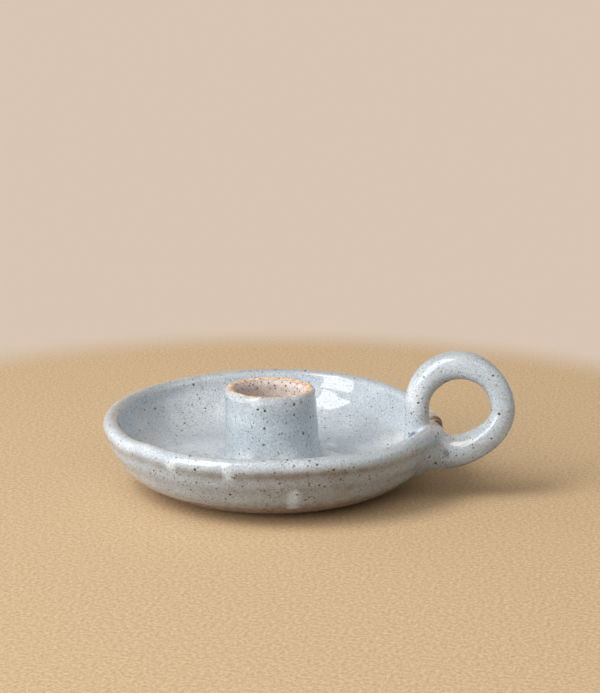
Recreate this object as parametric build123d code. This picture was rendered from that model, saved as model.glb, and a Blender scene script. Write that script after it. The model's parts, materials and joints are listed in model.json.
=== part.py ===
"""Stoneware chamberstick: a thrown dish with a thrown candle socket on its floor and a rolled finger loop.

The clay pieces are luted together. Each joint has a thin layer of slip between the two pieces, and a soft
coil of clay worked into the corner around them. Millimetres, +Z up, with the origin at the middle of the
foot, on the table, and +X from the dish's axis through the finger loop.
"""

from build123d import *
from math import atan2, cos, degrees, pi, radians, sin, sqrt
import os

# Dish
DISH_DIAMETER = 118.0  # across the outermost part of the rim
RIM_HEIGHT = 25.0  # table to the crest of the rim
RIM_THICKNESS = 5.4  # the rim is round
OUTER_SWEEP = 26.4  # radius of the wall's outer curve
OUTER_LIFT = 0.6  # table to the lowest point that curve would reach under the foot
INNER_SWEEP = 18.0  # radius of the wall's inner curve, which runs into the floor without a corner
FLOOR_HEIGHT = 8.4  # table to the flat floor inside
FOOT_DIAMETER = 76.4
FOOT_EDGE = 0.5  # rounding of the foot's lower edge

# Candle socket
BORE_DIAMETER = 23.0  # takes a 22 mm dinner candle
SOCKET_HEIGHT = 33.9  # table to the top of the lip
SOCKET_WALL = 4.3  # thickness below the lip
LIP_ROUND = 1.5  # rounding of the lip's outer edge, the rest of the wall being rounded into the bore
SOCKET_FLARE = 0.7  # how much further out the socket is at its foot than at its lip
SOCKET_COIL_RISE = 6.0  # how far the worked coil climbs from the floor
SOCKET_COIL_REACH = 4.3  # how far it spreads over the floor

# Finger loop
LOOP_HEIGHT = 51.0  # table to the top of the loop
LOOP_LOW = 14.6  # table to the centreline of the outer leg, where it meets the wall
LOOP_INSET = 8.0  # from the rim's outermost part in to the centreline of the inner leg
LOOP_ROUND_RATIO = 0.4675  # radius of the upper half over the height from the outer leg to the top
BEND_DROP_RATIO = 0.45  # share of the lower half's height that its curve is first led straight down
BEND_REACH_RATIO = 0.47  # share of the lower half's reach that its curve is led level towards the wall
LEG_THICKNESS = 8.4  # inner leg
SHOULDER_THICKNESS = 9.9  # over the rim
WAIST_THICKNESS = 8.1  # outermost part
ROOT_THICKNESS = 10.6  # outer leg

# Joints
SLIP = 0.5  # thickness of the layer of slip in each joint
COIL_TOE = 0.25  # thickness of a worked coil where it runs out
INNER_COIL_SPREAD = 2.4  # how much further out than the leg's face the coil is at the wall
INNER_COIL_LENGTH = 11.0  # how far it runs along the leg
OUTER_COIL_SPREAD = 2.2
OUTER_COIL_LENGTH = 6.5

# Both of the wall's curves touch the circle of the rim.
DISH_RADIUS = DISH_DIAMETER / 2
FOOT_RADIUS = FOOT_DIAMETER / 2
RIM_RADIUS = RIM_THICKNESS / 2
RIM_CENTRE = Vector(DISH_RADIUS - RIM_RADIUS, RIM_HEIGHT - RIM_RADIUS)


def curve_centre(height, distance):
    """The centre of a curve at this height and this far from the centre of the rim, towards the axis."""
    return Vector(RIM_CENTRE.X - sqrt(distance**2 - (height - RIM_CENTRE.Y) ** 2), height)


OUTER_CENTRE = curve_centre(OUTER_LIFT + OUTER_SWEEP, OUTER_SWEEP - RIM_RADIUS)
INNER_CENTRE = curve_centre(FLOOR_HEIGHT + INNER_SWEEP, INNER_SWEEP + RIM_RADIUS)

BORE_RADIUS = BORE_DIAMETER / 2
SOCKET_TOP_RADIUS = BORE_RADIUS + SOCKET_WALL
SOCKET_FOOT_RADIUS = SOCKET_TOP_RADIUS + SOCKET_FLARE
SOCKET_FOOT_HEIGHT = FLOOR_HEIGHT + SLIP
SOCKET_LIP_HEIGHT = SOCKET_HEIGHT - LIP_ROUND
MOUTH_ROUND = SOCKET_WALL - LIP_ROUND

LEG_X = DISH_RADIUS - LOOP_INSET
LOOP_TOP = LOOP_HEIGHT - SHOULDER_THICKNESS / 2
LOOP_RADIUS = (LOOP_TOP - LOOP_LOW) * LOOP_ROUND_RATIO
LOOP_CENTRE = Vector(LEG_X + LOOP_RADIUS, LOOP_TOP - LOOP_RADIUS)


def on_circle(centre, radius, angle):
    """A point of a section on a circle, the angle in degrees above the horizontal."""
    return centre + Vector(radius * cos(radians(angle)), radius * sin(radians(angle)))


def angle_to(centre, point):
    """The angle in degrees above the horizontal from one point of a section to another."""
    return degrees(atan2(point.Y - centre.Y, point.X - centre.X))


def height_under(centre, radius, x):
    """Height of the lower half of a circle of the section at a distance from the dish's axis."""
    return centre.Y - sqrt(radius**2 - (x - centre.X) ** 2)


def reach_at(centre, radius, z):
    """Distance from the dish's axis of the outer half of a circle of the section at a height."""
    return centre.X + sqrt(radius**2 - (z - centre.Y) ** 2)


def turned(*edges):
    """The solid of revolution of a closed outline of distance from the axis against height."""
    return revolve(Plane.XZ * make_face(edges), Axis.Z)


def inner_curve(grown=0.0):
    """The wall's inner curve, this much further in, from the rim down to the floor."""
    radius = INNER_SWEEP - grown
    top = angle_to(INNER_CENTRE, RIM_CENTRE)
    points = [on_circle(INNER_CENTRE, radius, angle) for angle in (top, (top - 90) / 2, -90)]
    return ThreePointArc(*points)


def dish(grown=0.0):
    """The dish, or the dish with its wall, rim and floor this much thicker all round."""
    outer = OUTER_SWEEP + grown
    foot_top = Vector(FOOT_RADIUS, height_under(OUTER_CENTRE, outer, FOOT_RADIUS))
    foot_angle = angle_to(OUTER_CENTRE, foot_top)
    rim_angle = angle_to(OUTER_CENTRE, RIM_CENTRE)
    rim_out = on_circle(OUTER_CENTRE, outer, rim_angle)
    crest = RIM_CENTRE + Vector(0, RIM_RADIUS + grown)
    inner = inner_curve(grown)
    return turned(
        Line((0, 0), (FOOT_RADIUS - FOOT_EDGE, 0)),
        RadiusArc((FOOT_RADIUS - FOOT_EDGE, 0), (FOOT_RADIUS, FOOT_EDGE), -FOOT_EDGE),
        Line((FOOT_RADIUS, FOOT_EDGE), foot_top),
        ThreePointArc(foot_top, on_circle(OUTER_CENTRE, outer, (foot_angle + rim_angle) / 2), rim_out),
        ThreePointArc(rim_out, crest, inner @ 0),
        inner,
        Line(inner @ 1, (0, FLOOR_HEIGHT + grown)),
        Line((0, FLOOR_HEIGHT + grown), (0, 0)),
    )


def inside_of_dish():
    """All the space inside a surface within the dish's wall, up past the finger loop."""
    middle = inner_curve(-RIM_RADIUS)
    top = 2 * LOOP_HEIGHT
    return turned(
        middle,
        Line(middle @ 1, (0, FLOOR_HEIGHT - RIM_RADIUS)),
        Line((0, FLOOR_HEIGHT - RIM_RADIUS), (0, top)),
        Line((0, top), (RIM_CENTRE.X, top)),
        Line((RIM_CENTRE.X, top), middle @ 0),
    )


def socket_radius(z):
    """Outer radius of the tapered socket at a height."""
    share = (SOCKET_LIP_HEIGHT - z) / (SOCKET_LIP_HEIGHT - SOCKET_FOOT_HEIGHT)
    return SOCKET_TOP_RADIUS + SOCKET_FLARE * share


def candle_socket():
    """A tapered tube with a straight bore and a lip rounded mostly into the bore, open at its foot."""
    lip_out = (SOCKET_TOP_RADIUS, SOCKET_LIP_HEIGHT)
    lip_top = (BORE_RADIUS + MOUTH_ROUND, SOCKET_HEIGHT)
    lip_in = (BORE_RADIUS, SOCKET_HEIGHT - MOUTH_ROUND)
    foot_out = (SOCKET_FOOT_RADIUS, SOCKET_FOOT_HEIGHT)
    foot_in = (BORE_RADIUS, SOCKET_FOOT_HEIGHT)
    return turned(
        Line(foot_in, foot_out),
        Line(foot_out, lip_out),
        RadiusArc(lip_out, lip_top, -LIP_ROUND),
        RadiusArc(lip_top, lip_in, -MOUTH_ROUND),
        Line(lip_in, foot_in),
    )


def socket_slip():
    """The ring of slip between the socket's foot and the floor."""
    ring = Circle(SOCKET_FOOT_RADIUS) - Circle(BORE_RADIUS)
    return extrude(Plane.XY.offset(FLOOR_HEIGHT) * ring, SLIP)


def socket_coil():
    """The coil worked into the corner around the socket's foot, hollow-faced and thin at both edges."""
    top = FLOOR_HEIGHT + SOCKET_COIL_RISE
    wall_top = Vector(socket_radius(top), top)
    face_top = wall_top + Vector(COIL_TOE, 0)
    corner = Vector(SOCKET_FOOT_RADIUS, FLOOR_HEIGHT)
    toe = corner + Vector(SOCKET_COIL_REACH, 0)
    face_toe = toe + Vector(0, COIL_TOE)
    foot = Vector(SOCKET_FOOT_RADIUS, SOCKET_FOOT_HEIGHT)
    return turned(
        Line(corner, toe),
        Line(toe, face_toe),
        TangentArc(face_toe, face_top, tangent=(-1, 0)),
        Line(face_top, wall_top),
        Line(wall_top, foot),
        Line(foot, corner),
    )


def smooth_between(start, end, share):
    """A size that eases from one value to another."""
    return start + (end - start) * (1 - cos(pi * share)) / 2


def loop_blank(inside):
    """The loop before it is fitted: two straight legs that end within the wall, and the bend between them."""
    over = CenterArc(LOOP_CENTRE, LOOP_RADIUS, 180, -180)
    widest = over @ 1
    seat = Vector(reach_at(OUTER_CENTRE, OUTER_SWEEP, LOOP_LOW), LOOP_LOW)
    drop = Vector(0, BEND_DROP_RATIO * (widest.Y - seat.Y))
    reach = Vector(BEND_REACH_RATIO * (widest.X - seat.X), 0)
    under = Bezier(widest, widest - drop, seat + reach, seat)
    stations = [
        (over, 0.0, LEG_THICKNESS),
        (over, 0.12, smooth_between(LEG_THICKNESS, SHOULDER_THICKNESS, 0.5)),
        (over, 0.25, SHOULDER_THICKNESS),
        (over, 0.4, SHOULDER_THICKNESS),
        (over, 0.55, smooth_between(SHOULDER_THICKNESS, WAIST_THICKNESS, 0.3)),
        (over, 0.75, smooth_between(SHOULDER_THICKNESS, WAIST_THICKNESS, 0.8)),
        (over, 1.0, WAIST_THICKNESS),
        (under, 0.3, smooth_between(WAIST_THICKNESS, ROOT_THICKNESS, 0.3)),
        (under, 0.6, smooth_between(WAIST_THICKNESS, ROOT_THICKNESS, 0.75)),
        (under, 0.85, ROOT_THICKNESS),
        (under, 1.0, ROOT_THICKNESS),
    ]
    sections = []
    for path, share, thickness in stations:
        point = Plane.XZ.from_local_coords(path @ share)
        along = Plane.XZ.from_local_coords(path % share)
        sections.append(Plane(point, x_dir=(0, 1, 0), z_dir=along) * Circle(thickness / 2))
    inner_leg = extrude(sections[0], -LOOP_CENTRE.Y)
    outer_leg = extrude(sections[-1], seat.X)
    return loft(sections) + (inner_leg & inside) + (outer_leg - inside)


def flare(seat, thickness, spread, length):
    """A hollow-faced collar on a seat, whose far end is a little inside the leg's face."""
    wide = thickness / 2 + spread
    narrow = thickness / 2 - COIL_TOE
    outline = make_face(
        [
            Line((0, -length), (wide, -length)),
            Line((wide, -length), (wide, 0)),
            TangentArc((narrow, length), (wide, 0), tangent=(0, -1)),
            Line((narrow, length), (0, length)),
            Line((0, length), (0, -length)),
        ]
    )
    return seat * revolve(Plane.XZ * outline, Axis.Z)


def largest(shape):
    """The main solid of a cut, without crumbs."""
    return shape.solids().sort_by(SortBy.VOLUME)[-1]


os.makedirs("parts", exist_ok=True)
bowl = dish()
bowl_with_slip = dish(SLIP)
inside = inside_of_dish()
blank = loop_blank(inside)
slip_patches = (blank & (bowl_with_slip - bowl)).solids().sort_by(Axis.X)

inner_seat = Plane((LEG_X, 0, height_under(INNER_CENTRE, INNER_SWEEP, LEG_X)))
outer_seat = Plane((reach_at(OUTER_CENTRE, OUTER_SWEEP, LOOP_LOW), 0, LOOP_LOW), (0, 1, 0), (1, 0, 0))
inner_collar = flare(inner_seat, LEG_THICKNESS, INNER_COIL_SPREAD, INNER_COIL_LENGTH)
outer_collar = flare(outer_seat, ROOT_THICKNESS, OUTER_COIL_SPREAD, OUTER_COIL_LENGTH)

pieces = {
    "dish": bowl,
    "socket_slip": socket_slip(),
    "candle_socket": candle_socket(),
    "socket_coil": socket_coil(),
    "loop_inner_slip": slip_patches[0],
    "loop_outer_slip": slip_patches[-1],
    "finger_loop": largest(blank - bowl_with_slip),
    "loop_inner_coil": largest((inner_collar & inside) - bowl - blank),
    "loop_outer_coil": largest((outer_collar - inside) - bowl - blank),
}
for name, piece in pieces.items():
    export_step(piece, f"parts/{name}.step")
    print(f"{name}: {piece.volume / 1000:.2f} cm3")
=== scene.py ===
"""Looks of the stoneware chamberstick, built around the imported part.

Shapes are worked out in millimetres in the part's frame and go to Blender in metres. The thrown pieces are
turned meshes with the unevenness of hand work. The coils at the joints are meshed from a smooth blend of the
two surfaces that they join, so that the glaze runs over each joint without an edge.
"""

import json
from math import atan2, cos, degrees, pi, radians, sin, sqrt

import bpy
import numpy as np
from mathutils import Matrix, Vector


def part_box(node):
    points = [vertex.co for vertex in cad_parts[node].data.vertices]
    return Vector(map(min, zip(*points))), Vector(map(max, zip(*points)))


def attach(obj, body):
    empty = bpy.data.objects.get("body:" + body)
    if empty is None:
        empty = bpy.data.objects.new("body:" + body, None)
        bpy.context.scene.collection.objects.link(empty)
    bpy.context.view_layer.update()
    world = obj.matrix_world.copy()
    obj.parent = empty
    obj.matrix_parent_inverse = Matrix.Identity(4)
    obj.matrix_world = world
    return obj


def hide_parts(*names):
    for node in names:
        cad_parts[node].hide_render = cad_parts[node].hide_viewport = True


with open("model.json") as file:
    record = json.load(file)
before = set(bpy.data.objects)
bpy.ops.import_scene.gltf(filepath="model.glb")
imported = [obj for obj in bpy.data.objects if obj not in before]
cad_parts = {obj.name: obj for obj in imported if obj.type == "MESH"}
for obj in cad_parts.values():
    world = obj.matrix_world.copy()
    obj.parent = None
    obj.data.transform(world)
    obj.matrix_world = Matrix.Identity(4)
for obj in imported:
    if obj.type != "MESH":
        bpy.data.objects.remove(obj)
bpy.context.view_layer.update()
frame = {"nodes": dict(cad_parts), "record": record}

MM = 0.001

_, dish_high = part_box("dish")
socket_low, socket_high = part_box("candle_socket")
slip_low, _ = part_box("socket_slip")
_, loop_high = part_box("finger_loop")
bore = next(mount for mount in frame["record"]["mounts"] if mount["name"] == "candle_bore")

# Dish
RIM_RADIUS = 2.7
OUTER_SWEEP = 26.4
OUTER_LIFT = 0.6
INNER_SWEEP = 18.0
FOOT_RADIUS = 38.2
FOOT_BEVEL_DEPTH = 6.0  # how far in and how far up the foot's lower edge is cut away
FOOT_BEVEL_RISE = 0.95
FLOOR = slip_low.z / MM
RIM_CENTRE = (dish_high.x / MM - RIM_RADIUS, dish_high.z / MM - RIM_RADIUS)
MIDDLE = INNER_SWEEP + RIM_RADIUS  # sweep of a surface within the wall, through the centre of the rim
OUTSIDE = (-0.3, 1.2)  # distances out from that surface between which the bowl's side ends

# Waves of the hand-made rim: direction from the loop in degrees, spread in degrees, rise
RIM_WAVES = [
    (101, 42, 1.1),
    (30, 19, -2.2),
    (-134, 11, -0.65),
    (-122, 6, 0.35),
    (-103, 20, -0.5),
    (-62, 18, 0.25),
    (-41, 13, -0.45),
    (-16, 10, 0.5),
]
WAVED = (8, 22)  # heights between which the wall takes on the rim's waves
OVAL = 0.25  # how far the wall is out of round, in two ways
THREE_SIDED = 0.12
DRAWN_IN = 0.27  # how far the wall is drawn in, so that the oval keeps within the turned shape

# Throwing rings: depths, pitches, and the heights or radii between which they begin and end
RING_PITCH = 5.9
RING_CREST = 20.6  # height of one of them on the outside
OUTER_RING_DEPTH = 0.11
OUTER_RINGS_BEGIN = (6, 10)
INNER_RING_DEPTH = 0.06
INNER_RINGS_BEGIN = (9, 13)
WALL_RINGS_END = (21, 24)
FLOOR_RING_DEPTH = 0.05
FLOOR_RINGS_BEGIN = (14, 22)
FLOOR_RINGS_END = (38, 44)
FOOT_RING_DEPTH = 0.09
FOOT_RING_PITCH = 2.6
FOOT_RINGS_BEGIN = (3, 8)
FOOT_RINGS_END = (33, 36)
UNDERSIDE = (0, 0.3)  # heights between which the rings of the underside end

# Candle socket
BORE_RADIUS = bore["dims"]["r_mm"]
SOCKET_WALL = 4.3
LIP_ROUND = 1.5
SOCKET_TOP = socket_high.z / MM
SOCKET_FOOT = socket_low.z / MM
SOCKET_FOOT_RADIUS = socket_high.x / MM
SOCKET_TOP_RADIUS = BORE_RADIUS + SOCKET_WALL
SOCKET_LIP = SOCKET_TOP - LIP_ROUND
MOUTH_ROUND = SOCKET_WALL - LIP_ROUND
SOCKET_CREST = BORE_RADIUS + MOUTH_ROUND
SOCKET_LEAN = 1.1  # how far the socket's top is off the dish's axis, to the left in the picture
SOCKET_OVAL = 0.12
SOCKET_RING_DEPTH = 0.08
SOCKET_RING_PITCH = 7.0
LIFTED = 25  # height from which the lip is lifted
LIP_LIFT = 0.05
LIP_TILT = 0.22  # how much more it is lifted on its high side
CHIPPED = 32.5  # height from which the lip is chipped
LIP_CHIPS = [(0.1, 11, 0), (0.06, 29, 2), (0.05, 47, 0)]  # depth, number round the lip, turn

# Finger loop
LOOP_LOW = 14.6
LOOP_INSET = 8.0
LOOP_ROUND_RATIO = 0.4675
BEND_DROP_RATIO = 0.45
BEND_REACH_RATIO = 0.47
LEG_THICKNESS = 8.4
SHOULDER_THICKNESS = 9.9
WAIST_THICKNESS = 8.1
ROOT_THICKNESS = 10.6
LEG_X = dish_high.x / MM - LOOP_INSET
LOOP_TOP = loop_high.z / MM - SHOULDER_THICKNESS / 2
LOOP_RADIUS = (LOOP_TOP - LOOP_LOW) * LOOP_ROUND_RATIO
LOOP_CENTRE = (LEG_X + LOOP_RADIUS, LOOP_TOP - LOOP_RADIUS)
LOOP_SWAY = 0.95  # how far the loop swings to the front and the back
ROOT_SWAY = 0.64  # how much further to the front its outer end is
LEG_REACH = 20.0  # how far the legs go on into the wall where a coil is fitted to them
ROOT_REACH = 5.0
LOOP_JOINTED = 3.0  # height over the loop's centre above which it is too far from its joints to count

# Shares of the loop's length between which its thickness, its unevenness and the swing of its end change
WAIST_BEGINS = (0, 0.4)
SHOULDER_BEGINS = (0, 0.18)
SHOULDER_ENDS = (0.28, 0.5)
ROOT_BEGINS = (0.6, 0.92)
UNEVEN_BEGINS = (0, 0.12)
UNEVEN_ENDS = (0.72, 0.86)
END_SWINGS = (0.8, 1)

# Soft ridges along the loop: degrees round its section from the outside, spread in degrees,
# rise as a share of its radius
RIDGES = [
    (-112, 24, 0.07),
    (-20, 24, 0.03),
]

# Glaze
GLAZE_LINE = 5.6  # height on the wall where the glaze stops above the bare foot
GLAZE_SLANT = 0.8  # how much lower and higher it stops on two sides
GLAZE_RIPPLE = 0.1
GLAZE_EDGE = 0.25  # half the height over which the glaze reaches its thickness
GLAZE_EVEN = (9, 14)  # heights between which its thickness goes over into the wall's own shape
GLAZE_THICKNESS = 0.14
GLAZE_LEAN = (0.6, -0.8)  # direction, out and up, in which it stands off the wall over the foot
RUN_RELIEF = 0.2

# Runs of thicker glaze on the wall: direction from the loop in degrees, lower end, upper end, half width,
# strength
RUNS = [
    (-88.5, 17.5, 24.6, 1.7, 1.0),
    (-67.2, 5.0, 15.6, 2.3, 0.7),
    (-109.0, 18.5, 23.8, 1.9, 1.0),
    (-119.0, 21.5, 26.5, 3.4, 0.5),
    (25.0, 9.0, 20.0, 2.0, 0.8),
    (118.0, 12.0, 24.0, 2.4, 0.8),
    (171.0, 7.0, 19.0, 2.0, 0.7),
    (-158.0, 13.0, 23.0, 2.2, 0.8),
]

# Places behind the loop's leg where the glaze is worn to brown clay, darkened further as painted shade where
# the leg's shadow falls: centre, radius
WORN_AND_PAINTED_SHADE_PATCHES = [
    ((55.5, 11, 24.5), 8),
    ((58, 5, 22), 7),
]
# Places where it is thick and white. The two at the lip are partly a painted highlight, and the last two are
# painted light
THICK_AND_PAINTED_LIGHT_PATCHES = [
    ((28, 21, 8.4), 8),
    ((34, 24, 9.4), 10),
    ((40, 24, 12), 10),
    ((-6, -16, 12.5), 6),
    ((9.4, -13.3, 13), 5),
    # partly painted highlight: the next two are white blobs under the lip where it glints
    ((11, -11, 32.6), 3),
    ((-1.8, -15.4, 32.8), 3),
    ((51.5, -3, 35), 9),
    # painted light: the next two lighten the left of the floor and the back left of the wall, where more
    # light falls
    ((-28, 4, 8.4), 20),
    ((-39, 36, 16), 26),
]
# Places where it has pooled to grey glass
POOLS = [
    ((50.6, -4.6, 21.8), 3.0),
    ((62.2, -5.3, 16.4), 3.0),
]
POOL_DENT = 0.4  # how deep the clay is dented under a pool

# Bands of thin glaze round the wall: height, spread
UPPER_BAND = (19.9, 1.4)
LOWER_BAND = (14.4, 2.2)
LOW_WALL = (6, 13)  # heights between which the thin glaze of the low wall ends
UNDER_RIM = (20.5, 23)  # heights between which the thin glaze of the wall ends
TOWARDS_ROOT = (44, 60)  # places to the right between which the glaze grows thicker towards the loop's root
FRONT_OF_ROOT = (-4, 4)  # and from front to back, between which it grows thinner again
LOOP_EDGES = (2.6, 4.6)  # distances from the loop's centreline between which its glaze grows thinner
LOOP_FROM = (58, 22)  # distance from the axis and height, beyond either of which the loop stands free
OFF_WALL = (1, 5)  # distances beyond them between which the loop's own thin glaze sets in
TOASTED_CREST = (110, 25)  # degrees round the rim's section, spread
BARE_EDGE = 1.5  # half the height over which the clay shows at the foot

# Glaze of the socket, by distance out from the crest of its lip, depth under its top, or height
BORE_BARE = (-2.1, -0.9)
LIP_TOAST_BEGINS = (-2.4, -1.2)
LIP_TOAST_ENDS = (0.2, 0.7)
LIP_TOAST_DEPTH = (0.7, 1.2)
UNDER_LIP = (1.5, 0.6)  # depth and spread of a white band, partly thick glaze and partly a painted highlight of the lip's glint
LIP_THINS = (29.5, 32.5)

# Points round the turned and bent meshes
DISH_COLUMNS = 360
SOCKET_COLUMNS = 240
LOOP_COLUMNS = 72

# Joints
SOCKET_BLEND = 11.0  # widths of the blends between two surfaces
LOOP_BLEND = 11.0
LOW_BLEND = 6.5  # width of the loop's blend low down, under its outer leg
CREST_BLEND = 3.0  # width of the loop's blend up at the crest of the rim
CREST = (18, 24.5)  # heights between which the blend narrows to the crest's
CREST_OUTSIDE = (0.5, 3)  # distances out from the middle of the wall between which it widens again
LOW = (8, 14)  # heights between which the low blend widens
LOW_OUTSIDE = (0, 1)
SUNK = 0.012  # how far a coil's thin edge is under the surface that it fades into
DIP = 0.1  # how much further the very edge goes down
EDGE = (0.8, 0.97)  # shares of the blend's width between which it dips, and at the second it ends
KEYED = 1.0  # how deep a coil's hidden side is in its neighbours
NET_STEP = 0.45
NET_FILLS = 4  # how often the net's grid is gone over so that it closes
NET_PULLS = 3  # how often its points are pulled to the surface
SLOPE_STEP = 0.05  # how far to each side a field's slope is measured

# Colours as they look on screen, 0 to 255, the dark one first where there are two
MILKY = (196, 205, 212)
MILKY_GREY = (187, 192, 197)
THICK_WHITE = (229, 235, 239)
THIN_BROWN = (124, 111, 97)
POOL_GREY = (112, 124, 134)
TOAST = ((228, 176, 128), (250, 232, 208))
TOAST_SPECK = (112, 56, 36)
FOOT_CLAY = ((126, 104, 88), (176, 150, 130))
BORE_CLAY = ((210, 192, 182), (236, 226, 219))
SLIP_CLAY = ((130, 100, 78), (170, 138, 112))
CLAY_SPECK = (106, 52, 32)
PAPER = ((205, 170, 129), (238, 208, 167))
PAPER_GLOW = (204, 193, 178)  # of the light that the paper throws on the object
GROUND = (217, 197, 179)  # pale ground behind the object

# Iron specks in the glaze: spacing, radius, share of the places that have one, shift of the pattern,
# strength, and the colours of their middle, of their edge, and of their edge where the glaze is thin
IRON_SPECKS = [
    (0.7, 0.14, 0.7, 11.0, 0.45, (140, 136, 124), (150, 146, 136), (140, 118, 90)),
    (1.0, 0.2, 0.72, 0.0, 0.55, (122, 114, 92), (140, 132, 112), (136, 104, 64)),
    (1.4, 0.29, 0.55, 31.0, 0.65, (84, 74, 52), (118, 106, 78), (128, 92, 46)),
    (2.3, 0.42, 0.3, 77.0, 0.9, (48, 40, 27), (96, 80, 52), (126, 90, 42)),
]
# Scrapes and smears, and one mark of painted shade: start, end, half width, colour
MARKS_AND_PAINTED_SHADE = [
    ((30.6, -41.7, 8.3), (34.7, -39.7, 9.4), 0.8, (206, 168, 150)),
    ((16.6, 13.9, 8.7), (19.0, 12.7, 8.6), 3.0, (126, 84, 60)),
    ((-2.7, -15.6, 24.1), (-1.2, -15.7, 23.2), 0.35, (224, 178, 146)),
    ((52.4, -19.6, 14.2), (54.2, -18.6, 15.8), 0.9, (196, 168, 156)),
    # painted shade: a broad brown mark over the rim behind the loop's leg, where the leg's shadow falls
    ((53, 18, 24), (58.5, 5, 23.5), 5.0, (120, 96, 78)),
]
# Depth of the fine relief
GLAZE_RELIEF = 0.03
SLIP_RELIEF = 0.1
PAPER_RELIEF = 0.05

# View
VIEW_TURN = radians(15.0)
VIEW_TILT = 0.2412
VIEW_PLACE = (9.3, -636.0, 204.9)
VIEW_LENS = 98.8
FLOOR_REACH = 4.0  # in metres, like the lamps' sizes
PAPER_FADES = (188, 235)  # distances from the object between which the paper fades to the ground
WORLD_TINT = (1, 0.97, 0.94, 1)
WORLD_STRENGTH = 0.1

# Lamps: degrees to the right of straight in front, degrees up, width and height in metres, watts, tint
LAMP_DISTANCE = 2.0
LAMPS = {
    "window_low": (-52, 15.5, 0.9, 0.9, 17, (1, 1, 1)),
    "window_high": (-56, 48.5, 0.85, 1.2, 21, (1, 1, 1)),
    "left_wall": (-100, 22, 2.6, 1.6, 14, (0.76, 0.89, 1)),
    "right_wall": (82, 35, 1.2, 1.0, 3, (0.84, 0.93, 1)),
    "ceiling": (0, 58, 3, 3, 15.5, (1, 1, 1)),
}


def smooth(value, low, high):
    """0 at low, 1 at high, and eased between them."""
    share = np.clip((value - low) / (high - low), 0, 1)
    return share * share * (3 - 2 * share)


def between(value, begins, ends):
    """Eased from 0 to 1 over one span of values, and back to 0 over another."""
    return smooth(value, *begins) * (1 - smooth(value, *ends))


def hill(value, middle, spread):
    """1 in the middle, fading to 0 on both sides."""
    return np.exp(-(((value - middle) / spread) ** 2))


def arc(centre, radius, start, end, count):
    """Points of a section on an arc, its angles in degrees above the horizontal."""
    angles = np.radians(np.linspace(start, end, count))
    return np.stack([centre[0] + radius * np.cos(angles), centre[1] + radius * np.sin(angles)], 1)


def straight(start, end, count):
    """Points of a section on a line."""
    return np.linspace(start, end, count)


def chained(*runs):
    """One outline of several runs of points that share their ends."""
    return np.concatenate([runs[0]] + [run[1:] for run in runs[1:]])


def angle_to(centre, point):
    """The angle in degrees above the horizontal from one point of a section to another."""
    return degrees(atan2(point[1] - centre[1], point[0] - centre[0]))


def turn_from(angle, direction):
    """Degrees from a direction to angles in radians, between -180 and 180."""
    return (np.degrees(angle) - direction + 180) % 360 - 180


def curve_centre(height, distance):
    """The centre of a curve of the wall at this height and this far from the centre of the rim."""
    return RIM_CENTRE[0] - sqrt(distance**2 - (height - RIM_CENTRE[1]) ** 2), height


OUTER_CENTRE = curve_centre(OUTER_LIFT + OUTER_SWEEP, OUTER_SWEEP - RIM_RADIUS)
INNER_CENTRE = curve_centre(FLOOR + INNER_SWEEP, INNER_SWEEP + RIM_RADIUS)
OUTER_RIM_ANGLE = angle_to(OUTER_CENTRE, RIM_CENTRE)
INNER_RIM_ANGLE = angle_to(INNER_CENTRE, RIM_CENTRE)
LOOP_SEAT = (OUTER_CENTRE[0] + sqrt(OUTER_SWEEP**2 - (LOOP_LOW - OUTER_CENTRE[1]) ** 2), LOOP_LOW)


def in_patches(points, patches):
    """How far inside one of some round patches points are, 0 to 1."""
    most = np.zeros(len(points))
    for centre, radius in patches:
        away = np.linalg.norm(points - np.array(centre), axis=1)
        most = np.maximum(most, smooth(radius - away, 0, radius))
    return most


def ring_faces(rows, columns, closed):
    """Faces of a grid of points whose rows are rings, the last row joined to the first if closed."""
    faces = []
    for row in range(rows if closed else rows - 1):
        here = row * columns
        there = (row + 1) % rows * columns
        for column in range(columns):
            after = (column + 1) % columns
            faces.append((here + column, here + after, there + after, there + column))
    return faces


def capped(rings, first, last):
    """A closed mesh of rings of points, with a point in the middle of each end."""
    rows, columns = rings.shape[:2]
    points = np.concatenate([rings.reshape(-1, 3), [first, last]])
    faces = ring_faces(rows, columns, False)
    for column in range(columns):
        after = (column + 1) % columns
        faces.append((rows * columns, after, column))
        faces.append((rows * columns + 1, (rows - 1) * columns + column, (rows - 1) * columns + after))
    return points, faces


def turned(outline, columns):
    """Distances from the axis, directions and heights of an outline turned about it."""
    angle = np.linspace(0, 2 * pi, columns, endpoint=False)
    radius, turn = np.meshgrid(outline[:, 0], angle, indexing="ij")
    return radius, turn, np.repeat(outline[:, 1:], columns, 1)


# Dish


def outwards(x, z):
    """Distance outwards from a surface within the dish's wall and floor, below 0 on the side of the bowl."""
    return np.hypot(np.maximum(x - INNER_CENTRE[0], 0), z - INNER_CENTRE[1]) - MIDDLE


def glaze_line(angle):
    """Height at which the glaze stops, which wavers round the foot."""
    ripple = 1.5 * np.sin(23 * angle) + np.sin(41 * angle + 1)
    return GLAZE_LINE + GLAZE_SLANT * np.cos(angle + 1) + GLAZE_RIPPLE * ripple


def glaze_runs(angle, height):
    """How much of a run of thick glaze there is at a direction and height, 0 to 1."""
    most = np.zeros_like(angle)
    for direction, low, high, width, strength in RUNS:
        across = np.radians(turn_from(angle, direction)) * RIM_CENTRE[0] / width
        top = high - across**2
        along = smooth(height, low - 1, low + 2) * smooth(top - height, 0, 1.6)
        most = np.maximum(most, strength * np.exp(-(across**4)) * along)
    return most


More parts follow.
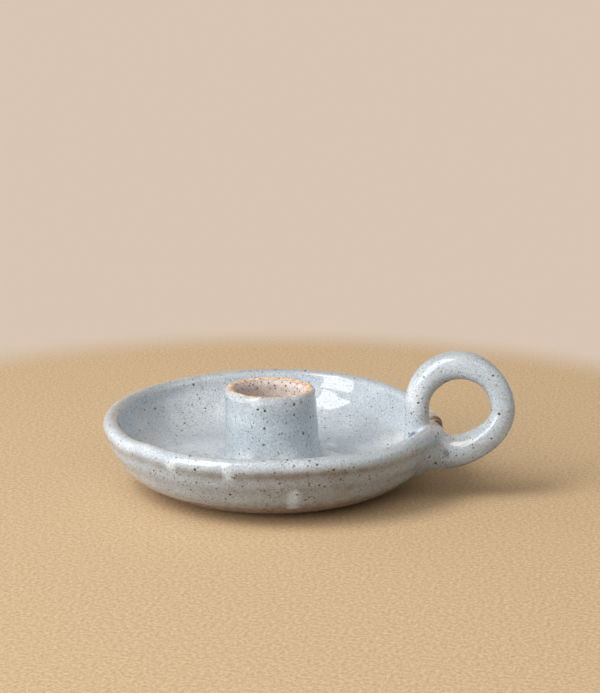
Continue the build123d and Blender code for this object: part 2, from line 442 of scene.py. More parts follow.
def dish_shift(radius, angle, height):
    """How far hand work and glaze have moved the dish's surface out and up from the true turned shape."""
    on_wall = smooth(height, *WAVED)
    outside = smooth(outwards(radius, height), *OUTSIDE)
    waves = np.zeros_like(radius)
    for direction, spread, rise in RIM_WAVES:
        waves = waves + rise * hill(turn_from(angle, direction), 0, spread)
    wander = 0.8 * np.sin(angle + 1) + 0.5 * np.sin(3 * angle)
    up_wall = 2 * pi * (height - RING_CREST) / RING_PITCH
    outer_rings = OUTER_RING_DEPTH * np.cos(up_wall + wander) * outside
    outer_rings = outer_rings * between(height, OUTER_RINGS_BEGIN, WALL_RINGS_END)
    inner_rings = INNER_RING_DEPTH * np.cos(up_wall - wander) * (1 - outside)
    inner_rings = inner_rings * between(height, INNER_RINGS_BEGIN, WALL_RINGS_END)
    floor_rings = FLOOR_RING_DEPTH * np.cos(2 * pi * radius / RING_PITCH + angle) * (1 - outside)
    floor_rings = floor_rings * between(radius, FLOOR_RINGS_BEGIN, FLOOR_RINGS_END)
    across_foot = 2 * pi * radius / FOOT_RING_PITCH + 0.6 * np.sin(angle)
    foot_rings = FOOT_RING_DEPTH * (0.5 - 0.5 * np.cos(across_foot)) * (1 - smooth(height, *UNDERSIDE))
    foot_rings = foot_rings * between(radius, FOOT_RINGS_BEGIN, FOOT_RINGS_END)
    line = glaze_line(angle)
    coat = GLAZE_THICKNESS * outside * between(height, (line - GLAZE_EDGE, line + GLAZE_EDGE), GLAZE_EVEN)
    oval = OVAL * np.cos(2 * angle + 0.8) + THREE_SIDED * np.cos(3 * angle + 2) - DRAWN_IN
    run = RUN_RELIEF * glaze_runs(angle, height) * outside
    out = oval * on_wall + outer_rings + inner_rings + run + GLAZE_LEAN[0] * coat
    up = waves * on_wall + floor_rings + foot_rings + GLAZE_LEAN[1] * coat
    return out, up


def before_hand_work(points):
    """Distance from the axis, direction and height that points of the dish had in the true turned shape."""
    radius = np.hypot(points[:, 0], points[:, 1])
    angle = np.arctan2(points[:, 1], points[:, 0])
    x, z = radius, points[:, 2]
    for _ in range(2):
        out, up = dish_shift(x, angle, z)
        x, z = radius - out, points[:, 2] - up
    return x, angle, z


def dish_outline():
    """The section from the middle of the underside, round the rim, to the middle of the floor."""
    foot_top = (FOOT_RADIUS, OUTER_CENTRE[1] - sqrt(OUTER_SWEEP**2 - (FOOT_RADIUS - OUTER_CENTRE[0]) ** 2))
    bevel_in = (FOOT_RADIUS - FOOT_BEVEL_DEPTH, 0)
    bevel_out = (FOOT_RADIUS, FOOT_BEVEL_RISE)
    return chained(
        straight((0, 0), bevel_in, 44),
        straight(bevel_in, bevel_out, 12),
        straight(bevel_out, foot_top, 2),
        arc(OUTER_CENTRE, OUTER_SWEEP, angle_to(OUTER_CENTRE, foot_top), OUTER_RIM_ANGLE, 96),
        arc(RIM_CENTRE, RIM_RADIUS, OUTER_RIM_ANGLE, 180 + INNER_RIM_ANGLE, 25),
        arc(INNER_CENTRE, INNER_SWEEP, INNER_RIM_ANGLE, -90, 50),
        straight((INNER_CENTRE[0], FLOOR), (0, FLOOR), 50),
    )


def dish_mesh():
    """The dish as rings about its axis, closed at the middle of the underside and of the floor."""
    radius, turn, height = turned(dish_outline()[1:-1], DISH_COLUMNS)
    out, up = dish_shift(radius, turn, height)
    rings = np.stack([(radius + out) * np.cos(turn), (radius + out) * np.sin(turn), height + up], -1)
    return capped(rings, (0, 0, 0), (0, 0, FLOOR))


def to_dish(points):
    """Signed distance to the dish's surface, below 0 in the clay."""
    x, _, z = before_hand_work(points)
    rim = np.hypot(x - RIM_CENTRE[0], z - RIM_CENTRE[1]) - RIM_RADIUS
    inner_x, inner_z = x - INNER_CENTRE[0], z - INNER_CENTRE[1]
    inner = INNER_SWEEP - np.hypot(inner_x, inner_z)
    inner = np.where(np.degrees(np.arctan2(inner_z, inner_x)) > INNER_RIM_ANGLE, rim, inner)
    inner = np.where(inner_x < 0, z - FLOOR, inner)
    outer_x, outer_z = x - OUTER_CENTRE[0], z - OUTER_CENTRE[1]
    outer = np.hypot(outer_x, outer_z) - OUTER_SWEEP
    outer = np.where(np.degrees(np.arctan2(outer_z, outer_x)) > OUTER_RIM_ANGLE, rim, outer)
    outer = np.where(x < FOOT_RADIUS, -z, outer)
    return np.maximum(inner, outer)


# Candle socket


def socket_centre(height):
    """Where the leaning socket's axis is at a height."""
    off = -SOCKET_LEAN * (height - FLOOR) / (SOCKET_TOP - FLOOR)
    return off * cos(VIEW_TURN), off * sin(VIEW_TURN)


def socket_swell(angle, height):
    """How far hand work has moved the socket's outer face out."""
    rings = SOCKET_RING_DEPTH * np.cos(height * 2 * pi / SOCKET_RING_PITCH + angle)
    return SOCKET_OVAL * np.cos(2 * angle + 1) + rings


def socket_face(height):
    """Outer radius of the socket's true taper."""
    share = (height - SOCKET_FOOT) / (SOCKET_LIP - SOCKET_FOOT)
    return SOCKET_FOOT_RADIUS + (SOCKET_TOP_RADIUS - SOCKET_FOOT_RADIUS) * share


def socket_mesh():
    """The socket as rings about its leaning axis: up the outside, over the lip and down the bore."""
    outline = chained(
        straight((SOCKET_FOOT_RADIUS, SOCKET_FOOT), (SOCKET_TOP_RADIUS, SOCKET_LIP), 60),
        arc((SOCKET_CREST, SOCKET_LIP), LIP_ROUND, 0, 90, 9),
        arc((SOCKET_CREST, SOCKET_TOP - MOUTH_ROUND), MOUTH_ROUND, 90, 180, 17),
        straight((BORE_RADIUS, SOCKET_TOP - MOUTH_ROUND), (BORE_RADIUS, SOCKET_FOOT), 30),
        straight((BORE_RADIUS, SOCKET_FOOT), (SOCKET_FOOT_RADIUS, SOCKET_FOOT), 5),
    )[:-1]
    radius, turn, height = turned(outline, SOCKET_COLUMNS)
    outside = smooth(radius, BORE_RADIUS + 1, SOCKET_TOP_RADIUS - 0.5)
    radius = radius + socket_swell(turn, height) * outside
    chips = sum(depth * np.sin(count * turn + shift) for depth, count, shift in LIP_CHIPS)
    lift = smooth(height, LIFTED, SOCKET_LIP) * (LIP_TILT * np.cos(turn + 1.83) + LIP_LIFT)
    height = height + lift + chips * smooth(height, CHIPPED, SOCKET_TOP)
    x, y = socket_centre(height)
    points = np.stack([x + radius * np.cos(turn), y + radius * np.sin(turn), height], -1)
    return points.reshape(-1, 3), ring_faces(len(outline), SOCKET_COLUMNS, True)


def to_socket(points):
    """Signed distance to the socket's outer face."""
    x, y = socket_centre(points[:, 2])
    angle = np.arctan2(points[:, 1] - y, points[:, 0] - x)
    face = socket_face(points[:, 2]) + socket_swell(angle, points[:, 2])
    return np.hypot(points[:, 0] - x, points[:, 1] - y) - face


# Finger loop


def loop_line():
    """Points along the loop's centreline, from the top of the inner leg to the outer seat, and its radii."""
    over = arc(LOOP_CENTRE, LOOP_RADIUS, 180, 0, 61)
    start, end = over[-1], np.array(LOOP_SEAT)
    lead = start - (0, BEND_DROP_RATIO * (start[1] - end[1]))
    level = end + (BEND_REACH_RATIO * (start[0] - end[0]), 0)
    t = np.linspace(0, 1, 41)[:, None]
    under = (1 - t) ** 3 * start + 3 * t * (1 - t) ** 2 * lead + 3 * t**2 * (1 - t) * level + t**3 * end
    line = chained(over, under)
    share = np.linspace(0, 1, len(line))
    shoulder = between(share, SHOULDER_BEGINS, SHOULDER_ENDS)
    root = smooth(share, *ROOT_BEGINS)
    slim = LEG_THICKNESS + (WAIST_THICKNESS - LEG_THICKNESS) * smooth(share, *WAIST_BEGINS)
    thickness = slim + (SHOULDER_THICKNESS - slim) * shoulder + (ROOT_THICKNESS - slim) * root
    sway = LOOP_SWAY * np.sin(7.6 * share - 1) - ROOT_SWAY * smooth(share, *END_SWINGS)
    return np.stack([line[:, 0], sway, line[:, 1]], 1), thickness / 2


def loop_swell(share, turn):
    """How uneven the loop's radius is along it and round its section."""
    lumps = 0.012 * np.cos(2 * turn + 9 * share) + 0.01 * np.cos(3 * turn + 17 * share) - 0.008
    for direction, spread, rise in RIDGES:
        lumps = lumps + rise * hill(turn_from(turn, direction), 0, spread)
    return 1 + between(share, UNEVEN_BEGINS, UNEVEN_ENDS) * lumps


def loop_mesh():
    """The loop as rings about its centreline, with two straight legs that end within the wall."""
    line, radius = loop_line()
    along = np.gradient(line, axis=0)
    along = along / np.linalg.norm(along, axis=1)[:, None]
    turn = np.linspace(0, 2 * pi, LOOP_COLUMNS, endpoint=False)[None]
    uneven = radius[:, None] * loop_swell(np.linspace(0, 1, len(line))[:, None], turn)
    across = uneven * np.cos(turn)
    rings = np.stack(
        [
            line[:, :1] - along[:, 2:] * across,
            line[:, 1:2] + uneven * np.sin(turn),
            line[:, 2:] + along[:, :1] * across,
        ],
        -1,
    )
    top, seat = rings[0], rings[-1]
    leg_end, root_end = top.copy(), seat.copy()
    leg_reach = np.hypot(top[:, 0], top[:, 1]) - INNER_CENTRE[0]
    leg_end[:, 2] = INNER_CENTRE[1] - np.sqrt(MIDDLE**2 - leg_reach**2)
    root_reach = INNER_CENTRE[0] + np.sqrt(MIDDLE**2 - (seat[:, 2] - INNER_CENTRE[1]) ** 2)
    root_end[:, 0] = np.sqrt(root_reach**2 - seat[:, 1] ** 2)
    leg = [leg_end + (top - leg_end) * step for step in np.linspace(0, 1, 24, endpoint=False)]
    root = [seat + (root_end - seat) * step for step in np.linspace(0, 1, 9)[1:]]
    rings = np.concatenate([leg, rings, root])
    points, faces = capped(rings, rings[0].mean(0), rings[-1].mean(0))
    return points, [face[::-1] for face in faces]


def to_loop(points):
    """Signed distance to the loop's surface, its legs taken on into the wall."""
    line, radius = loop_line()
    centres = np.concatenate([[line[0] - (0, 0, LEG_REACH)], line, [line[-1] - (ROOT_REACH, 0, 0)]])
    radii = np.concatenate([radius[:1], radius, radius[-1:]])
    best = np.full(len(points), 1e9)
    for start, end, near, far in zip(centres[:-1], centres[1:], radii[:-1], radii[1:]):
        if start[2] > LOOP_CENTRE[1] + LOOP_JOINTED:
            continue
        step = end - start
        share = np.clip((points - start) @ step / (step @ step), 0, 1)
        gap = points - start - share[:, None] * step
        best = np.minimum(best, np.sqrt((gap**2).sum(1)) - near - (far - near) * share)
    return best


# Coils worked into the joints


def everywhere(points):
    """A side that leaves nothing out."""
    return np.full(len(points), -1e9)


def bowl_side(points):
    """Below 0 on the side of the bowl."""
    return outwards(np.hypot(points[:, 0], points[:, 1]), points[:, 2])


def outer_side(points):
    """Below 0 outside the wall."""
    return -bowl_side(points)


def even_blend(points):
    """The width of the blend around the socket."""
    return np.full(len(points), SOCKET_BLEND)


def loop_blend(points):
    """The width of the blend around the loop's legs, narrow at the crest of the rim and low on the wall."""
    height, out = points[:, 2], bowl_side(points)
    off_crest = np.maximum(1 - smooth(height, *CREST), smooth(out, *CREST_OUTSIDE))
    low = (1 - smooth(height, *LOW)) * smooth(out, *LOW_OUTSIDE)
    width = CREST_BLEND + (LOOP_BLEND - CREST_BLEND) * off_crest
    return width + (LOW_BLEND - LOOP_BLEND) * low


def coil_field(first, second, width_at, side):
    """A field below 0 in the clay worked over the joint of two surfaces, and above 0 outside it."""

    def field(points):
        a, b, width = first(points), second(points), width_at(points)
        apart = np.abs(a - b)
        lift = np.maximum(1 - apart / width, 0) ** 3 * width / 6
        dent = POOL_DENT * in_patches(points, POOLS)
        face = np.minimum(a, b) - lift + dent + SUNK + DIP * smooth(apart / width, *EDGE)
        return np.maximum.reduce([face, -a - KEYED, -b - KEYED, apart - EDGE[1] * width, side(points)])

    return field


def filled(value):
    """A grid of values in which no square is below 0 at two opposite corners alone, so its net is closed."""
    for first, second in ((0, 1), (0, 2), (1, 2)):
        grid = np.moveaxis(value, (first, second), (0, 1))
        squares = [grid[:-1, :-1], grid[1:, 1:], grid[1:, :-1], grid[:-1, 1:]]
        a, b, c, d = (corner < 0 for corner in squares)
        touching = (a == b) & (c == d) & (a != c)
        for corner in squares:
            corner[touching] = np.minimum(corner[touching], -0.01)
    return value


def net_points(value):
    """One point in each cell of a grid that the surface crosses, in cells, and the cells' numbers."""
    cells = tuple(count - 1 for count in value.shape)
    total, count = np.zeros(cells + (3,)), np.zeros(cells)

    def corners(offset):
        return value[tuple(slice(start, start + size) for start, size in zip(offset, cells))]

    for axis in range(3):
        unit = np.eye(3, dtype=int)[axis]
        for offset in np.ndindex(2, 2, 2):
            if offset[axis] == 0:
                a, b = corners(offset), corners(np.array(offset) + unit)
                crossed = (a < 0) != (b < 0)
                share = np.where(crossed, a / np.where(crossed, a - b, 1), 0)
                total += crossed[..., None] * (np.array(offset) + share[..., None] * unit)
                count += crossed
    used = count > 0
    number = np.full(cells, -1)
    number[used] = np.arange(used.sum())
    return np.argwhere(used) + total[used] / count[used][:, None], number


def net_faces(inside, number):
    """Squares between the points of the four cells around each edge of the grid that the surface crosses."""
    faces = []
    for axis in range(3):
        before = np.take(inside, range(number.shape[axis]), axis)
        beyond = np.take(inside, range(1, number.shape[axis] + 1), axis)
        crossings = np.argwhere(before != beyond)
        around = []
        for back, down in ((1, 1), (0, 1), (0, 0), (1, 0)):
            cell = crossings.copy()
            cell[:, (axis + 1) % 3] -= back
            cell[:, (axis + 2) % 3] -= down
            around.append(number[tuple(cell.T)])
        squares = np.stack(around, 1)
        leaving = inside[tuple(crossings.T)]
        faces += squares[leaving].tolist() + squares[~leaving][:, ::-1].tolist()
    return faces


def net(field, low, high):
    """A closed mesh of the surface where a field is 0, with a point in each grid cell that it crosses."""
    axes = [np.arange(a, b, NET_STEP) for a, b in zip(low, high)]
    grid = np.stack(np.meshgrid(*axes, indexing="ij"), -1)
    value = field(grid.reshape(-1, 3)).reshape(grid.shape[:3])
    for _ in range(NET_FILLS):
        value = filled(value)
    places, number = net_points(value)
    faces = net_faces(value < 0, number)
    points = np.array(low) + NET_STEP * places
    for _ in range(NET_PULLS):
        steps = np.eye(3) * SLOPE_STEP
        slope = [(field(points + step) - field(points - step)) / (2 * SLOPE_STEP) for step in steps]
        slope = np.stack(slope, 1)
        move = field(points)[:, None] * slope / np.maximum((slope**2).sum(1), 0.2)[:, None]
        points = points - np.clip(move, -NET_STEP / 2, NET_STEP / 2)
    return points, faces


# Masks of the glaze, stored at the points of the meshes


def dish_masks(points):
    """Masks of points on the dish, the loop and the coils."""
    x, angle, z = before_hand_work(points)
    outside = smooth(outwards(x, z), -0.5, 1.5)
    run = glaze_runs(angle, z) * outside
    # painted shade: behind the loop's leg the surface is made browner and darker where the leg's shadow
    # falls, partly worn glaze, through thin, toast and bare
    worn_and_painted_shade = in_patches(points, WORN_AND_PAINTED_SHADE_PATCHES)
    front = 0.5 + 0.5 * np.cos(angle + 0.9)
    near_root = smooth(points[:, 0], *TOWARDS_ROOT) * (1 - smooth(points[:, 1], *FRONT_OF_ROOT))
    wall = outside * (1 - smooth(z, *UNDER_RIM)) * (1 - 0.6 * near_root)
    bands = hill(z, *UPPER_BAND) + 0.5 * hill(z, *LOWER_BAND) + 0.8 * (1 - smooth(z, *LOW_WALL))
    thin = wall * (0.6 * front**2 + (0.06 + 0.3 * front) * bands)
    around_rim = np.degrees(np.arctan2(z - RIM_CENTRE[1], x - RIM_CENTRE[0]))
    on_rim = np.hypot(x - RIM_CENTRE[0], z - RIM_CENTRE[1]) < RIM_RADIUS + 0.3
    crest = hill(around_rim, *TOASTED_CREST) * on_rim
    from_line = np.hypot(points[:, 0] - LOOP_CENTRE[0], points[:, 2] - LOOP_CENTRE[1]) - LOOP_RADIUS
    on_loop = 0.04 + 0.26 * smooth(np.abs(from_line), *LOOP_EDGES)
    on_loop = on_loop * smooth(np.maximum(x - LOOP_FROM[0], points[:, 2] - LOOP_FROM[1]), *OFF_WALL)
    in_bore = np.where(x < BORE_RADIUS + 1, 1, 0) * (1 - outside)
    at_foot = outside * smooth(glaze_line(angle) - z, -BARE_EDGE, BARE_EDGE)
    return {
        "thin": np.clip(thin - 0.7 * run + 0.2 * crest + on_loop + worn_and_painted_shade, 0, 1),
        # thick also carries painted light on the left of the floor and the back left of the wall
        "thick": np.clip(0.6 * run + 0.1 * on_rim + in_patches(points, THICK_AND_PAINTED_LIGHT_PATCHES), 0, 1),
        "pool": in_patches(points, POOLS),
        "toast": 0.24 * crest * (1 - worn_and_painted_shade),
        "bare": np.maximum.reduce([at_foot, in_bore, 0.8 * worn_and_painted_shade]),
        "pale_clay": in_bore,
    }


def socket_masks(points):
    """Masks of points on the socket, whose lip is toasted and whose bore is bare."""
    x, y = socket_centre(points[:, 2])
    from_crest = np.hypot(points[:, 0] - x, points[:, 1] - y) - SOCKET_CREST
    below_top = SOCKET_TOP - points[:, 2]
    in_bore = 1 - smooth(from_crest, *BORE_BARE)
    at_lip = between(from_crest, LIP_TOAST_BEGINS, LIP_TOAST_ENDS) * (1 - smooth(below_top, *LIP_TOAST_DEPTH))
    under_lip = hill(below_top, *UNDER_LIP)
    return {
        "thin": 0.1 * smooth(points[:, 2], *LIP_THINS),
        # the band under the lip and the lip's patches are partly a painted highlight of its glint
        "thick": np.clip(0.8 * under_lip + in_patches(points, THICK_AND_PAINTED_LIGHT_PATCHES), 0, 1) * (1 - in_bore),
        "toast": at_lip,
        "bare": in_bore,
        "pale_clay": in_bore,
    }


# Materials


def joined(tree, value, socket):
    """Joins an output to a node's input, or sets the input to a value."""
    if isinstance(value, bpy.types.NodeSocket):
        tree.links.new(value, socket)
    else:
        socket.default_value = value


def linked(tree, kind, inputs, **settings):
    """A new shader node with its inputs joined to sockets or set to values."""
    made = tree.nodes.new(kind)
    for setting, value in settings.items():
        setattr(made, setting, value)
    for key, value in inputs.items():
        joined(tree, value, made.inputs[key])
    return made


def maths(tree, operation, *values):
    """A number worked out from sockets or numbers."""
    return linked(tree, "ShaderNodeMath", dict(enumerate(values)), operation=operation).outputs[0]


def vectors(tree, operation, *values):
    """A vector worked out from vectors."""
    return linked(tree, "ShaderNodeVectorMath", dict(enumerate(values)), operation=operation).outputs[0]


def scaled(tree, vector, factor):
    """A vector times a number."""
    return linked(tree, "ShaderNodeVectorMath", {0: vector, "Scale": factor}, operation="SCALE").outputs[0]


def length(tree, vector):
    """The length of a vector."""
    return linked(tree, "ShaderNodeVectorMath", {0: vector}, operation="LENGTH").outputs["Value"]


def eased(tree, value, low, high, start=0.0, end=1.0):
    """One number where a value is at low, another where it is at high, and eased between them."""
    inputs = {"Value": value, "From Min": low, "From Max": high, "To Min": start, "To Max": end}
    return linked(tree, "ShaderNodeMapRange", inputs, interpolation_type="SMOOTHSTEP").outputs[0]


def mixed(tree, share, first, second, blend="MIX"):
    """A mix of two colours, each a socket or a colour."""
    made = linked(tree, "ShaderNodeMix", {0: share, 6: first, 7: second}, data_type="RGBA", blend_type=blend)
    return made.outputs[2]


def grain(tree, place, size, detail=2.0, rough=0.5):
    """Cloudy noise around 0.5, whose lumps are about this many millimetres across."""
    inputs = {"Vector": place, "Scale": 1 / size, "Detail": detail, "Roughness": rough}
    return linked(tree, "ShaderNodeTexNoise", inputs).outputs["Fac"]


def mask(tree, name):
    """A mask stored at the mesh's points."""
    return linked(tree, "ShaderNodeAttribute", {}, attribute_name=name).outputs["Fac"]


def colour(red, green, blue):
    """A colour given as it looks on screen, 0 to 255, in linear light."""
    parts = []
    for part in (red / 255, green / 255, blue / 255):
        parts.append(part / 12.92 if part <= 0.04045 else ((part + 0.055) / 1.055) ** 2.4)
    return (*parts, 1)


def object_place(tree):
    """Place on the object in millimetres."""
    return scaled(tree, linked(tree, "ShaderNodeTexCoord", {}).outputs["Object"], 1 / MM)


def specks(tree, place, spacing, radius, share, shift):
    """How strongly there is a speck of the clay here, and 0 in its middle to 1 at its edge."""
    place = vectors(tree, "ADD", place, (shift, shift / 2, -shift))
    cells = linked(tree, "ShaderNodeTexVoronoi", {"Vector": place, "Scale": 1 / spacing})
    chance = linked(tree, "ShaderNodeSeparateColor", {0: cells.outputs["Color"]})
    size = maths(tree, "MULTIPLY_ADD", chance.outputs[1], radius / spacing, 0.5 * radius / spacing)
    inside = maths(tree, "DIVIDE", cells.outputs["Distance"], size)
    there = maths(tree, "LESS_THAN", chance.outputs[0], share)
    return maths(tree, "MULTIPLY", eased(tree, inside, 1.15, 0.6), there), eased(tree, inside, 0.3, 0.9)


def streak(tree, place, start, end, width):
    """1 on a short mark from one point to another, fading to 0 at its edge."""
    start, end = Vector(start), Vector(end)
    along = end - start
    off = vectors(tree, "SUBTRACT", place, start)
    inputs = {0: off, 1: along / along.length_squared}
    dot = linked(tree, "ShaderNodeVectorMath", inputs, operation="DOT_PRODUCT").outputs["Value"]
    share = linked(tree, "ShaderNodeClamp", {"Value": dot}).outputs[0]
    nearest = scaled(tree, along, share)
    return eased(tree, length(tree, vectors(tree, "SUBTRACT", off, nearest)), width, 0.1 * width)


def shader(material, base, roughness, height, relief, coat=0.0):
    """Joins a colour, a roughness and a relief in millimetres to a material's surface."""
    tree = material.node_tree
    raised = linked(tree, "ShaderNodeBump", {"Height": height, "Distance": relief * MM})
    for key, value in {
        "Base Color": base,
        "Roughness": roughness,
        "Normal": raised.outputs[0],
        "Specular IOR Level": 0.06,
        "Coat Weight": coat,
        "Coat Roughness": 0.03,
        "Coat IOR": 1.52,
    }.items():
        joined(tree, value, tree.nodes["Principled BSDF"].inputs[key])


def new_material(name):
    """A material with nodes, and its node tree."""
    material = bpy.data.materials.new(name)
    material.use_nodes = True
    return material, material.node_tree


def speckled(tree, place, base):
    """A colour with the clay's iron specks showing through it, more strongly where the glaze is thin."""
    wavy = linked(tree, "ShaderNodeTexNoise", {"Vector": place, "Scale": 1.6, "Detail": 1.0}).outputs["Color"]
    place = vectors(tree, "ADD", place, scaled(tree, wavy, 0.4))
    thin = mask(tree, "thin")
    for spacing, radius, share, shift, strength, middle, edge, thin_edge in IRON_SPECKS:
        speck, outer = specks(tree, place, spacing, radius, share, shift)
        rim = mixed(tree, thin, colour(*edge), colour(*thin_edge))
        tint = mixed(tree, outer, colour(*middle), rim)
        shows = eased(tree, thin, 0.0, 0.6, strength, min(1.6 * strength, 1.0))
        base = mixed(tree, maths(tree, "MULTIPLY", speck, shows), base, tint)
    return base


def bare_clay(tree, place, dark, light):
    """The colour of fired clay with no glaze on it."""
    base = mixed(tree, eased(tree, grain(tree, place, 1.3, 4, 0.7), 0.3, 0.7), dark, light)
    speck, _ = specks(tree, place, 1.1, 0.3, 0.7, 13.0)
    return mixed(tree, maths(tree, "MULTIPLY", speck, 0.85), base, colour(*CLAY_SPECK))


def glaze(tree, place):
    """The colour of the milky glaze over speckled clay."""
    cloud = grain(tree, place, 14, 3)
    patch = grain(tree, place, 5, 3, 0.6)
    fine = grain(tree, place, 0.6, 3, 0.7)
    thick = maths(tree, "MULTIPLY_ADD", eased(tree, cloud, 0.48, 0.72), 0.4, mask(tree, "thick"))
    base = mixed(tree, maths(tree, "MINIMUM", thick, 1.0), colour(*MILKY), colour(*THICK_WHITE))
    base = mixed(tree, eased(tree, patch, 0.45, 0.75, 0.0, 0.35), base, colour(*MILKY_GREY))
    uneven = eased(tree, maths(tree, "ADD", cloud, patch), 0.75, 1.2, 0.75, 1.0)
    base = mixed(tree, maths(tree, "MULTIPLY", mask(tree, "thin"), uneven), base, colour(*THIN_BROWN))
    ragged = maths(tree, "MULTIPLY_ADD", grain(tree, place, 1.6, 3), 1.6, mask(tree, "pool"))
    base = mixed(tree, eased(tree, ragged, 1.15, 1.8, 0.0, 0.8), base, colour(*POOL_GREY))
    return mixed(tree, 1.0, base, eased(tree, fine, 0.25, 0.75, 0.72, 1.2), "MULTIPLY")


def marked(tree, place, base):
    """A colour with scrapes and smears on it, and one brown mark of painted shade behind the loop's leg."""
    broken = eased(tree, grain(tree, place, 1.3, 3), 0.3, 0.6, 0.5, 0.9)
    for start, end, width, tint in MARKS_AND_PAINTED_SHADE:
        mark = maths(tree, "MULTIPLY", streak(tree, place, start, end, width), broken)
        base = mixed(tree, mark, base, colour(*tint))
    return base


def toasted(tree, place):
    """The colour of glaze that has burnt off to toasted clay."""
    dark, light = TOAST
    base = mixed(tree, eased(tree, grain(tree, place, 1.6, 3), 0.3, 0.7), colour(*dark), colour(*light))
    speck, _ = specks(tree, place, 1.0, 0.33, 0.6, 53.0)
    return mixed(tree, maths(tree, "MULTIPLY", speck, 0.8), base, colour(*TOAST_SPECK))


def stoneware_material():
    """Milky speckled glaze, with bare clay at the foot and in the bore and a toasted lip."""
    material, tree = new_material("glazed_stoneware")
    place = object_place(tree)
    base = marked(tree, place, speckled(tree, place, glaze(tree, place)))
    toast_edge = maths(tree, "MULTIPLY_ADD", grain(tree, place, 2.5, 3), 0.8, mask(tree, "toast"))
    toast = eased(tree, toast_edge, 0.6, 1.0)
    base = mixed(tree, toast, base, toasted(tree, place))
    in_bore = mask(tree, "pale_clay")
    dark = mixed(tree, in_bore, colour(*FOOT_CLAY[0]), colour(*BORE_CLAY[0]))
    light = mixed(tree, in_bore, colour(*FOOT_CLAY[1]), colour(*BORE_CLAY[1]))
    bare_edge = maths(tree, "MULTIPLY_ADD", grain(tree, place, 4, 3), 0.5, mask(tree, "bare"))
    bare = eased(tree, bare_edge, 0.7, 0.78)
    base = mixed(tree, bare, base, bare_clay(tree, place, dark, light))
    dry = maths(tree, "MAXIMUM", bare, maths(tree, "MULTIPLY", toast, 0.7))
    glossy = eased(tree, grain(tree, place, 3, 3), 0.3, 0.7, 0.24, 0.34)
    roughness = maths(tree, "MULTIPLY_ADD", dry, 0.5, glossy)
    height = maths(tree, "MULTIPLY_ADD", grain(tree, place, 0.5, 2), 0.2, grain(tree, place, 2.4, 2))
    wrinkled = maths(tree, "MULTIPLY", mask(tree, "pool"), grain(tree, place, 1.1, 2))
    height = maths(tree, "MULTIPLY_ADD", wrinkled, 4.0, height)
    shader(material, base, roughness, height, GLAZE_RELIEF, maths(tree, "SUBTRACT", 1.0, dry))
    return material


def slip_material():
    """Fired slip, without glaze."""
    material, tree = new_material("fired_slip")
    place = object_place(tree)
    coarse = grain(tree, place, 1.1, 4, 0.7)
    dark, light = SLIP_CLAY
    base = bare_clay(tree, place, colour(*dark), colour(*light))
    shader(material, base, maths(tree, "MULTIPLY_ADD", coarse, 0.2, 0.7), coarse, SLIP_RELIEF)
    return material


def seen_ray(tree):
    """1 where the background is seen straight or in a reflection, and 0 where it only gives light."""
    path = linked(tree, "ShaderNodeLightPath", {}).outputs
    seen = maths(tree, "MAXIMUM", path["Is Camera Ray"], path["Is Glossy Ray"])
    return maths(tree, "MAXIMUM", seen, path["Is Transmission Ray"])


def floor_material():
    """Sand-coloured paper near the object, which fades to an even pale ground further off."""
    material, tree = new_material("sand_paper")
    place = object_place(tree)
    fibres = grain(tree, place, 1.2, 4, 0.8)
    dark, light = PAPER
    paper = mixed(tree, eased(tree, fibres, 0.3, 0.7), colour(*dark), colour(*light))
    paper = mixed(tree, seen_ray(tree), colour(*PAPER_GLOW), paper)
    shader(material, paper, maths(tree, "MULTIPLY_ADD", fibres, 0.1, 0.8), fibres, PAPER_RELIEF)
    far = maths(tree, "MULTIPLY", eased(tree, length(tree, place), *PAPER_FADES), seen_ray(tree))
    ground = linked(tree, "ShaderNodeEmission", {"Color": colour(*GROUND)}).outputs[0]
    surface = tree.nodes["Principled BSDF"].outputs[0]
    faded = linked(tree, "ShaderNodeMixShader", {0: far, 1: surface, 2: ground}).outputs[0]
    joined(tree, faded, tree.nodes["Material Output"].inputs["Surface"])
    return material


# Pieces


def shown(name, data):
    """A new object in the scene."""
    made = bpy.data.objects.new(name, data)
    bpy.context.scene.collection.objects.link(made)
    return made


def new_piece(name, node, mesh_data, masks):
    """A smooth glazed mesh that stands for a CAD node."""
    points, faces = mesh_data
    mesh = bpy.data.meshes.new(name)
    mesh.from_pydata((points * MM).tolist(), [], faces)
    mesh.shade_smooth()
    for mask_name, values in masks(points).items():
        mesh.attributes.new(mask_name, "FLOAT", "POINT").data.foreach_set("value", values.astype(np.float32))
    mesh.materials.append(stoneware)
    piece = shown(name, mesh)
    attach(piece, "root")
    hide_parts(node)


stoneware = stoneware_material()
slip = slip_material()
for slip_node in ("socket_slip", "loop_inner_slip", "loop_outer_slip"):
    frame["nodes"][slip_node].data.materials.clear()
    frame["nodes"][slip_node].data.materials.append(slip)

new_piece("thrown_dish", "dish", dish_mesh(), dish_masks)
new_piece("thrown_socket", "candle_socket", socket_mesh(), socket_masks)
new_piece("rolled_loop", "finger_loop", loop_mesh(), dish_masks)

around_socket = coil_field(to_dish, to_socket, even_blend, everywhere)
around_leg = coil_field(to_dish, to_loop, loop_blend, bowl_side)
around_root = coil_field(to_dish, to_loop, loop_blend, outer_side)
for coil_name, coil_node, coil, low_corner, high_corner in (
    ("worked_socket_coil", "socket_coil", around_socket, (-31, -31, 5), (31, 31, 23)),
    ("worked_inner_coil", "loop_inner_coil", around_leg, (32, -19, 4), (62, 19, 36)),
    ("worked_outer_coil", "loop_outer_coil", around_root, (44, -20, 1), (76, 20, 34)),
):
    new_piece(coil_name, coil_node, net(coil, low_corner, high_corner), dish_masks)

# View and light


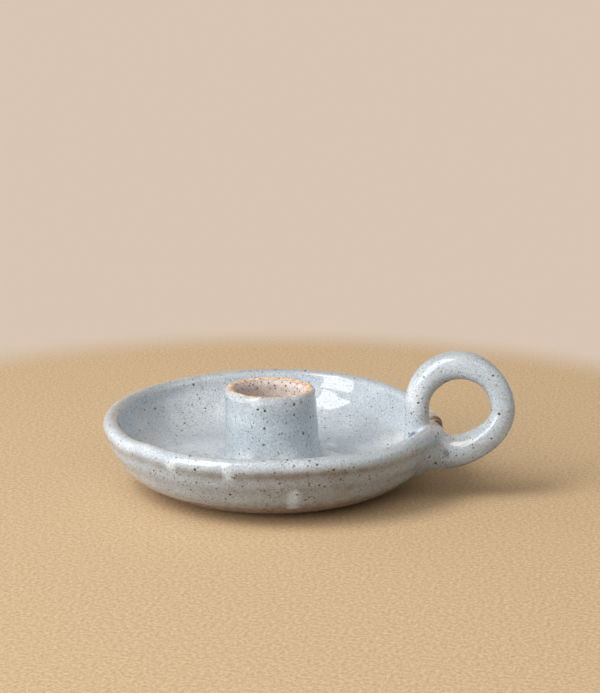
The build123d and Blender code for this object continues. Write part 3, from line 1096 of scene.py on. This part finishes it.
def in_frame(right, away, up):
    """A point given in the picture's directions in the part's frame, in metres."""
    return (
        (right * cos(VIEW_TURN) - away * sin(VIEW_TURN)) * MM,
        (right * sin(VIEW_TURN) + away * cos(VIEW_TURN)) * MM,
        up * MM,
    )


def add_camera():
    """The camera, at the place and with the lens of the picture."""
    camera = shown("camera", bpy.data.cameras.new("camera"))
    camera.location = in_frame(*VIEW_PLACE)
    camera.rotation_euler = (pi / 2 - VIEW_TILT, 0, VIEW_TURN)
    camera.data.lens = VIEW_LENS
    camera.data.sensor_width = 36
    camera.data.clip_start = 0.01
    bpy.context.scene.camera = camera


def add_floor():
    """A square of paper under the object."""
    mesh = bpy.data.meshes.new("floor")
    corners = [(x * FLOOR_REACH, y * FLOOR_REACH, 0) for x, y in ((-1, -1), (1, -1), (1, 1), (-1, 1))]
    mesh.from_pydata(corners, [], [(0, 1, 2, 3)])
    mesh.materials.append(floor_material())
    floor = shown("floor", mesh)


def add_lamp(name, direction, elevation, width, height, power, tint):
    """A lamp that faces the object."""
    lamp = bpy.data.lights.new(name, "AREA")
    lamp.shape = "RECTANGLE"
    lamp.size = width
    lamp.size_y = height
    lamp.energy = power
    lamp.color = tint
    turn, tilt = radians(direction), radians(elevation)
    distance = LAMP_DISTANCE / MM
    reach = distance * cos(tilt)
    stand = shown(name, lamp)
    stand.location = in_frame(reach * sin(turn), -reach * cos(turn), distance * sin(tilt))
    stand.rotation_euler = (-stand.location).to_track_quat("-Z", "Y").to_euler()
    stand.visible_camera = False


def add_world():
    """A dim even light, which is seen as the pale ground."""
    world = bpy.data.worlds.new("studio")
    bpy.context.scene.world = world
    world.use_nodes = True
    tree = world.node_tree
    dim = linked(tree, "ShaderNodeBackground", {"Color": WORLD_TINT, "Strength": WORLD_STRENGTH}).outputs[0]
    pale = linked(tree, "ShaderNodeBackground", {"Color": colour(*GROUND)}).outputs[0]
    both = linked(tree, "ShaderNodeMixShader", {0: seen_ray(tree), 1: dim, 2: pale}).outputs[0]
    joined(tree, both, tree.nodes["World Output"].inputs["Surface"])


add_camera()
add_floor()
for lamp_name, settings in LAMPS.items():
    add_lamp(lamp_name, *settings)
add_world()
bpy.context.scene.view_settings.view_transform = "Standard"
